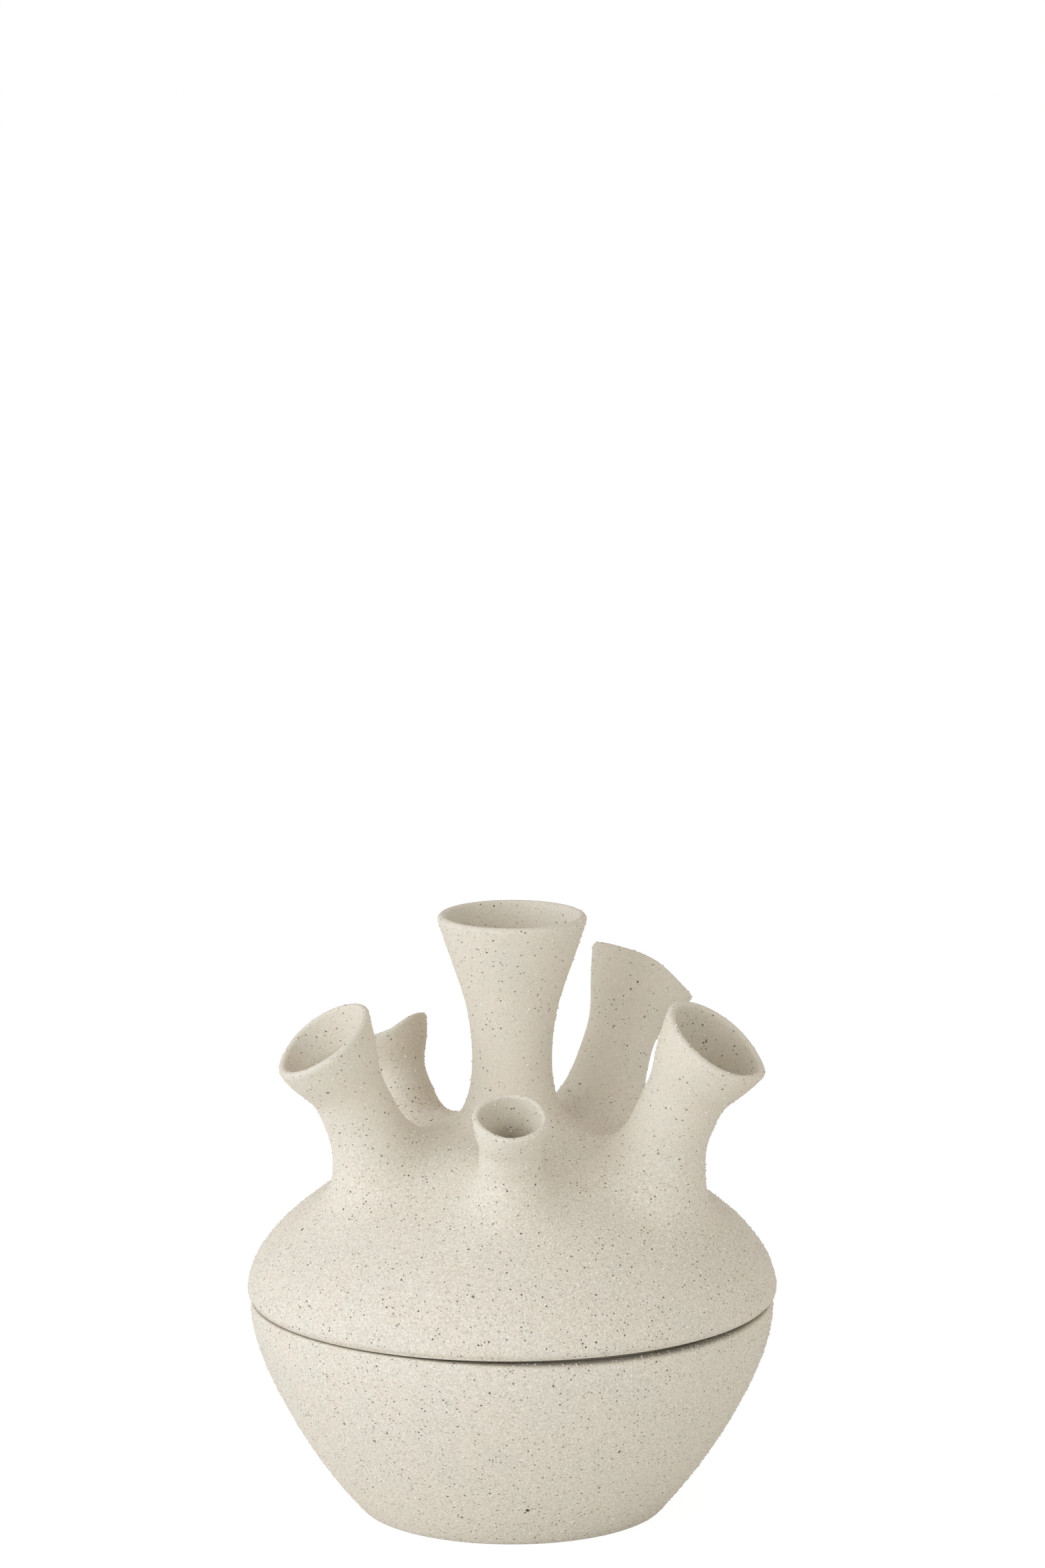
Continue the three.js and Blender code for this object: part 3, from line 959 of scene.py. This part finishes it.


# %% Painted shade at the seam
# Dark brown painted into the slot between the pieces, where there is only shade
seam_shade_colour = (0.20, 0.165, 0.125, 1)
seam_shade_strength = 0.5
# The painted shade starts this far in from the rim's outer edge, and is full here
seam_shade_starts = 0.001
seam_shade_full = 0.0035
# Above and below the seat it is full up to here, and gone here
seam_shade_near = 0.003
seam_shade_far = 0.008
bore_edge = 0.001


def paint_seam_shade(tree, parts, colour):
    """Painted shade over a colour where the pieces rest on each other, but not inside the bore."""
    reach = calculate(tree, "SQRT", calculate(
        tree, "ADD", calculate(tree, "POWER", parts.outputs["X"], 2.0),
        calculate(tree, "POWER", parts.outputs["Y"], 2.0)))
    inwards = ramp(tree, reach, rim_radius - seam_shade_starts, rim_radius - seam_shade_full)
    off_seam = calculate(tree, "ABSOLUTE", calculate(tree, "SUBTRACT", parts.outputs["Z"], seat))
    at_seam = ramp(tree, off_seam, seam_shade_near, seam_shade_far, start=1.0, end=0.0)
    off_bore = ramp(tree, reach, flange_inside, flange_inside + bore_edge, kind="LINEAR")
    shade_share = product(tree, inwards, at_seam, off_bore, seam_shade_strength)
    return mix_colours(tree, shade_share, colour, seam_shade_colour)


# Heights that the seam's painted shade reaches
print("stained from", round(seat - seam_shade_far, 4), "to", round(seat + seam_shade_far, 4), "m up")


# %% Ragged edges and a sandy skin
ragged_size = 0.0007
ragged_shake = 0.0005
grain_height = 0.9
bump_height = 0.00009


def shaken(tree, where):
    """A place shaken by a fine noise. What is looked up there has ragged edges."""
    texture = add_node(tree, "ShaderNodeTexNoise", Vector=where, Scale=1 / ragged_size, Detail=1.0)
    shake = add_node(tree, "ShaderNodeVectorMath", operation="MULTIPLY_ADD")
    values = (texture.outputs["Color"], (ragged_shake, ragged_shake, ragged_shake), where)
    for socket, value in zip(shake.inputs, values):
        set_input(tree, socket, value)
    return shake.outputs[0]


def sandy_skin(tree, where, grains):
    """Bump of a fine unevenness, and of pale grains that stand a little proud."""
    fine = add_node(tree, "ShaderNodeTexNoise", Vector=where, Scale=1 / ragged_size, Detail=1.0)
    rough = calculate(tree, "MULTIPLY_ADD", grains, grain_height, fine.outputs["Fac"])
    bump = add_node(tree, "ShaderNodeBump", Strength=1.0, Distance=bump_height, Height=rough)
    return bump.outputs[0]


print("the skin's bumps are", round(bump_height * 1000, 2), "mm high")


# %% Put the clay together
# Slip hides the grit and some of the iron from this height up
slip_from = 0.125
slip_full = 0.165
grit_below = 1.33
grit_above = 0.53
iron_below = 1.15
iron_above = 0.73
# Pale grains and iron both lie in loose swarms
swarm_size = 0.012
iron_between = 0.2
iron_in_swarm = 0.5
grains_between = 0.4


def new_material(name, roughness, shine):
    """Material and its main shader, with the numbers that are the same all over."""
    material = bpy.data.materials.new(name)
    material.use_nodes = True
    shader = material.node_tree.nodes["Principled BSDF"]
    shader.inputs["Roughness"].default_value = roughness
    shader.inputs["Specular IOR Level"].default_value = shine
    return material, shader


def make_clay():
    """Matt stoneware with cloudy colour, iron specks and a sandy skin."""
    material, shader = new_material("stoneware", roughness=0.92, shine=0.2)
    tree = material.node_tree
    where = add_node(tree, "ShaderNodeTexCoord").outputs["Object"]
    parts = add_node(tree, "ShaderNodeSeparateXYZ", Vector=where)
    height = parts.outputs["Z"]

    slip = ramp(tree, height, slip_from, slip_full)
    grit = between(tree, slip, grit_below, grit_above)
    swarm = noise_between(tree, where, size=swarm_size, low=0.3, high=0.7)
    many = product(
        tree, between(tree, swarm, iron_between, iron_in_swarm),
        between(tree, slip, iron_below, iron_above))
    ragged = shaken(tree, where)
    grains = specks(tree, ragged, spacing=0.0011, radius=0.00052, share=0.55, edge=0.5)

    colour = add_grit(tree, where, grit, body_colour(tree, where, height))
    grains_seen = product(tree, grains, between(tree, swarm, grains_between, 1.0), grit)
    colour = mix_colours(tree, grains_seen, colour, clay_sandy)
    colour = add_iron(tree, ragged, many, colour)
    # The slot at the seam gets painted shade
    set_input(tree, shader.inputs["Base Color"], paint_seam_shade(tree, parts, colour))
    set_input(tree, shader.inputs["Normal"], sandy_skin(tree, where, grains))
    return material


def paint(pieces, material):
    """Gives some pieces one material all over."""
    for piece in pieces:
        piece.data.materials.clear()
        piece.data.materials.append(material)
    print("material:", material.name, "on", [piece.name for piece in pieces])


paint([bowl, cover], make_clay())

# %% [markdown]
# ## Sand on the skin
# Coarse grains stand proud of the clay and catch the light. They roughen its outline, and lie
# thickest in the valleys between the spouts and along the lips, where wet fingers dragged the fine
# clay away. More lie on the side that faces right: partly sand, and partly a painted highlight, as
# their pale colour stands in for light grazing that side. Geometry nodes scatter a small 20-sided
# grain over each piece, and how many there are follows a number kept at each vertex. A particle
# system could do it too, but it can't vary the grains as freely. The scatter is then made a plain
# mesh, since a live one would be worked out again for every view.

# %% Patches of sand
patch_size = 0.013
patch_contrast = 0.9
patch_shift = Vector((3, 7, 1))


def patchiness(point):
    """Patches of more and less sand, from 0 to 1."""
    return smooth_step(0.5 + patch_contrast * noise.noise(point / patch_size + patch_shift))


# Extra pale grains that follow this are partly sand and partly a painted highlight on the right
# side
def turned_right(normal):
    """1 where the clay faces right, and 0 where it faces left."""
    return smooth_step(0.5 + normal.x)


print("patchiness at the foot:", round(patchiness(Vector((foot_radius, 0, 0))), 3))

# %% How sandy the bowl is
foot_bare_below = 0.0015
bowl_bare_above = rim_height - 0.0012
# Sand in the open seam, from 0 to 1, and how wide the seam must stand open for it
open_rim_sand = 0.9
open_from = 0.0009
bowl_inside_sand = 0.05
bowl_least_sand = 0.12
bowl_patch_sand = 0.28
# Extra sand facing right, partly sand and partly a painted highlight
bowl_right_sand_and_highlight = 0.24


def bowl_sand(point, normal):
    """How sandy the bowl is at a point, from 0 to 1."""
    reach = math.hypot(point.x, point.y)
    inside = normal.x * point.x + normal.y * point.y < 0 or reach < foot_radius - foot_ring_width
    if point.z < foot_bare_below:
        return 0
    if point.z > bowl_bare_above + rim_rise(point):
        is_open = seam_gap(point) > open_from and reach > rim_radius - rim_half
        return open_rim_sand if is_open else 0
    if inside:
        return bowl_inside_sand
    # The share facing right is partly sand, partly a painted highlight
    amount = bowl_patch_sand + bowl_right_sand_and_highlight * turned_right(normal)
    return bowl_least_sand + amount * patchiness(point)


print("a sandy place:", round(bowl_sand(Vector((rim_radius, 0, 0.06)), Vector((1, 0, 0))), 3))

# %% How sandy the cover is
cover_bare_below = seat + 0.0005
facing_down = -0.85
under_sand = 0.2
# Deeper than this share of the wall is inside a bore
buried_share = 0.6
bore_sand = 0.03
bore_lip_sand = 0.3
lip_width = 0.004
valley_depth = 0.02
shoulder_from = 0.055
shoulder_over = 0.03
# Everywhere, then patchy: all over, in valleys (less at the shoulder), on lips and facing right,
# where the pale grains are partly a painted highlight
cover_least_sand = 0.1
cover_patch_sand = 0.2
valley_sand = 0.6
shoulder_loss = 0.45
lip_sand = 0.45
cover_right_sand_and_highlight = 0.26
# Fingers have smoothed the spouts from this height, over this much of it, and taken this share off
smoothed_from = 0.13
smoothed_over = 0.04
smoothed_loss = 0.4

lip_tree = kdtree.KDTree(len(lip_points))
for i, point in enumerate(lip_points):
    lip_tree.insert(point, i)
lip_tree.balance()


def cover_sand(point, normal):
    """How sandy the cover is at a point, from 0 to 1."""
    reach = math.hypot(point.x, point.y)
    if point.z < cover_bare_below + cover_rise(point) or point.z > cad_high.z - 2 * sand_height:
        return 0
    if point.z < ledge or normal.z < facing_down:
        return 0 if reach < flange_radius + chamfer else under_sand
    skin_height = dome_height(reach) if reach < shoulder_radius else shoulder
    lip_share = 1 - smooth_step(lip_tree.find(point)[2] / lip_width)
    if point.z < skin_height - buried_share * cover_wall:
        return bore_sand + bore_lip_sand * lip_share
    valley = 1 - smooth_step((point.z - skin_height) / valley_depth)
    shoulder_share = smooth_step((reach - shoulder_from) / shoulder_over)
    # The share facing right is partly sand, partly a painted highlight
    amount = (
        cover_patch_sand + valley_sand * valley * (1 - shoulder_loss * shoulder_share)
        + lip_sand * lip_share + cover_right_sand_and_highlight * turned_right(normal))
    smoothed = smooth_step((point.z - smoothed_from) / smoothed_over) * (1 - lip_share)
    return (cover_least_sand + amount * patchiness(point)) * (1 - smoothed_loss * smoothed)


print("along the lips:", round(cover_sand(lip_points[0], Vector((0, 0, 1))), 3))

# %% Nodes that scatter the grains
smallest_grain = 0.00014
largest_grain = 0.00046
# A higher power makes large grains rarer
grain_rareness = 2.5
slimmest_grain = (0.7, 0.7, 0.7)
stoutest_grain = (1.3, 1.3, 1.3)
full_turns = (math.tau, math.tau, math.tau)


def scatter_nodes(density, seed):
    """Geometry nodes that turn a piece into grains of sand on its skin."""
    tree = bpy.data.node_groups.new("scatter_sand", "GeometryNodeTree")
    for side in ("INPUT", "OUTPUT"):
        tree.interface.new_socket(name="Geometry", in_out=side, socket_type="NodeSocketGeometry")
    skin = add_node(tree, "NodeGroupInput").outputs[0]
    sandiness = add_node(tree, "GeometryNodeInputNamedAttribute", Name="sandiness").outputs[0]
    points = add_node(
        tree, "GeometryNodeDistributePointsOnFaces", Mesh=skin,
        Density=product(tree, sandiness, density), Seed=seed).outputs["Points"]
    grain = add_node(tree, "GeometryNodeMeshIcoSphere", Radius=1, Subdivisions=1).outputs["Mesh"]
    turn = add_node(tree, "FunctionNodeRandomValue", data_type="FLOAT_VECTOR", Max=full_turns)
    shape = add_node(
        tree, "FunctionNodeRandomValue", data_type="FLOAT_VECTOR",
        Min=slimmest_grain, Max=stoutest_grain)
    chance = add_node(tree, "FunctionNodeRandomValue", data_type="FLOAT", Seed=seed)
    rarer = calculate(tree, "POWER", chance.outputs[1], grain_rareness)
    size = ramp(tree, rarer, 0.0, 1.0, start=smallest_grain, end=largest_grain, kind="LINEAR")
    scale = add_node(
        tree, "ShaderNodeVectorMath", operation="SCALE", Vector=shape.outputs[0], Scale=size)
    placed = add_node(
        tree, "GeometryNodeInstanceOnPoints", Points=points, Instance=grain,
        Rotation=turn.outputs[0], Scale=scale.outputs[0]).outputs[0]
    real = add_node(tree, "GeometryNodeRealizeInstances", Geometry=placed).outputs[0]
    set_input(tree, add_node(tree, "NodeGroupOutput").inputs[0], real)
    return tree


print("grains from", smallest_grain, "to", largest_grain, "m in radius")


# %% Scatter the grains
sand_per_area = 820000


def scatter_sand(piece, sandiness, density, seed, name):
    """Grains of sand on a piece, as one plain mesh. None may leave the CAD model's box."""
    mesh = piece.data.copy()
    amounts = mesh.attributes.new("sandiness", "FLOAT", "POINT")
    for vert, amount in zip(mesh.vertices, amounts.data):
        amount.value = sandiness(vert.co, vert.normal)
    carrier = add_object(name, mesh)
    carrier.modifiers.new("scatter", "NODES").node_group = scatter_nodes(density, seed)
    grains = finished_mesh(carrier)
    grains.name = name
    for vert in grains.vertices:
        vert.co = [min(max(c, low), high) for c, low, high in zip(vert.co, cad_low, cad_high)]
    return add_object(name, grains)


bowl_grains = [
    scatter_sand(bowl, bowl_sand, sand_per_area / 2, seed, f"bowl_sand_{seed}") for seed in (1, 2)]
cover_grains = [
    scatter_sand(cover, cover_sand, sand_per_area / 4, seed, f"cover_sand_{seed}")
    for seed in (3, 4, 5, 6)]
for piece in bowl_grains + cover_grains:
    print(piece.name, triangle_count(piece) // 20, "grains")

# %% Colour the sand
quartz_warm = (0.87, 0.83, 0.735, 1)
quartz_cool = (0.83, 0.82, 0.74, 1)
quartz_dusty = (0.69, 0.64, 0.545, 1)


def make_sand():
    """Pale quartz sand, dusty with clay, each grain a little different."""
    material, shader = new_material("sand", roughness=0.8, shine=0.3)
    tree = material.node_tree
    where = add_node(tree, "ShaderNodeTexCoord").outputs["Object"]
    tone = noise_between(tree, where, size=0.0011, low=0.35, high=0.65, detail=0.0)
    clean = noise_between(tree, where, size=0.017, low=0.35, high=0.65)
    pale = mix_colours(tree, clean, quartz_warm, quartz_cool)
    set_input(tree, shader.inputs["Base Color"], mix_colours(tree, tone, pale, quartz_dusty))
    return material


paint(bowl_grains + cover_grains, make_sand())

# %% [markdown]
# ## Floor and light
# The vase stands on a plain white sweep. Brighter lamps would turn it white too, but they would
# wash out the clay. So what the camera sees of it is nearly pure white by its own glow, while the
# light that it sends back to the clay stays at a plain level. Three large soft lamps and even light
# from all round give the clay its gentle fall from left to right.

# %% Lay the floor
floor_half_width = 6
# A hair below the foot, so that the two don't share one plane
floor_gap = 0.0002

floor_sheet = bmesh.new()
bmesh.ops.create_grid(floor_sheet, x_segments=1, y_segments=1, size=floor_half_width)
bmesh.ops.translate(floor_sheet, verts=floor_sheet.verts, vec=(0, 0, -floor_gap))
floor = piece_from(floor_sheet, "floor")
print("floor:", 2 * floor_half_width, "m wide")

# %% Paint the floor
floor_white = 0.93
floor_glow = 1.06
floor_glow_share = 0.9


def seen_plainly(tree):
    """1 for what is seen straight, in a gloss or through glass, and 0 for light on the clay."""
    path = add_node(tree, "ShaderNodeLightPath").outputs
    seen = calculate(tree, "MAXIMUM", path["Is Camera Ray"], path["Is Glossy Ray"])
    return calculate(tree, "MAXIMUM", seen, path["Is Transmission Ray"])


def show_instead(tree, share, first, second, output):
    """Mixes two shaders by a share, and shows the result."""
    mix = add_node(tree, "ShaderNodeMixShader", Fac=share)
    set_input(tree, mix.inputs[1], first.outputs[0])
    set_input(tree, mix.inputs[2], second.outputs[0])
    set_input(tree, output.inputs["Surface"], mix.outputs[0])


def make_floor_paint():
    """White floor. Seen by the camera it is nearly all pure white, with a faint shadow."""
    material, shader = new_material("floor_paint", roughness=0.9, shine=0.5)
    tree = material.node_tree
    shader.inputs["Base Color"].default_value = (floor_white, floor_white, floor_white, 1)
    glow = add_node(tree, "ShaderNodeEmission", Strength=floor_glow)
    share = product(tree, seen_plainly(tree), floor_glow_share)
    show_instead(tree, share, shader, glow, tree.nodes["Material Output"])
    return material


paint([floor], make_floor_paint())

# %% Set up the lamps
cool_white = (0.81, 0.885, 1.0)
pale_white = (0.86, 0.965, 1.0)
lamp_width = 1.4
lamps_aim = Vector((0, 0, 0.12))


def add_lamp(name, location, power, colour):
    """Large soft lamp that points at the middle of the vase."""
    data = bpy.data.lights.new(name, "AREA")
    data.size = lamp_width
    data.energy = power
    data.color = colour
    lamp = bpy.data.objects.new(name, data)
    lamp.location = location
    lamp.rotation_euler = (lamps_aim - lamp.location).to_track_quat("-Z", "Y").to_euler()
    bpy.context.scene.collection.objects.link(lamp)
    return lamp


lamps = [
    add_lamp("front_left", Vector((-1.6, -1.8, 0.9)), 20.7, cool_white),
    add_lamp("left", Vector((-2.3, -0.4, 0.9)), 16.2, cool_white),
    add_lamp("front_right", Vector((1.6, -1.8, 0.6)), 8.4, pale_white),
]
print("lamps:", [lamp.name for lamp in lamps])

# %% Set up the surroundings
warm_white = (1.0, 0.943, 0.915)
surroundings = 0.63


def make_surroundings():
    """Even warm light from all round. Seen straight on it is pure white."""
    world = bpy.data.worlds.new("studio")
    world.use_nodes = True
    tree = world.node_tree
    around = tree.nodes["Background"]
    around.inputs["Color"].default_value = (*warm_white, 1)
    around.inputs["Strength"].default_value = surroundings
    white = add_node(tree, "ShaderNodeBackground", Color=(1, 1, 1, 1), Strength=1.0)
    show_instead(tree, seen_plainly(tree), around, white, tree.nodes["World Output"])
    return world


bpy.context.scene.world = make_surroundings()
bpy.context.scene.view_settings.view_transform = "Standard"
print("surroundings:", bpy.context.scene.world.name)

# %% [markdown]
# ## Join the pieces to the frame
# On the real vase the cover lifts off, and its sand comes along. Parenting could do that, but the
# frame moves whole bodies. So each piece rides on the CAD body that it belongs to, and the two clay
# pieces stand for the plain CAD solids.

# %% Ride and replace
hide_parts("bowl")
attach(bowl, "bowl")
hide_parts("spout_cover")
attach(cover, "cover")
for piece in bowl_grains:
    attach(piece, "bowl")
for piece in cover_grains:
    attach(piece, "cover")
print("pieces joined:", 2 + len(bowl_grains) + len(cover_grains))
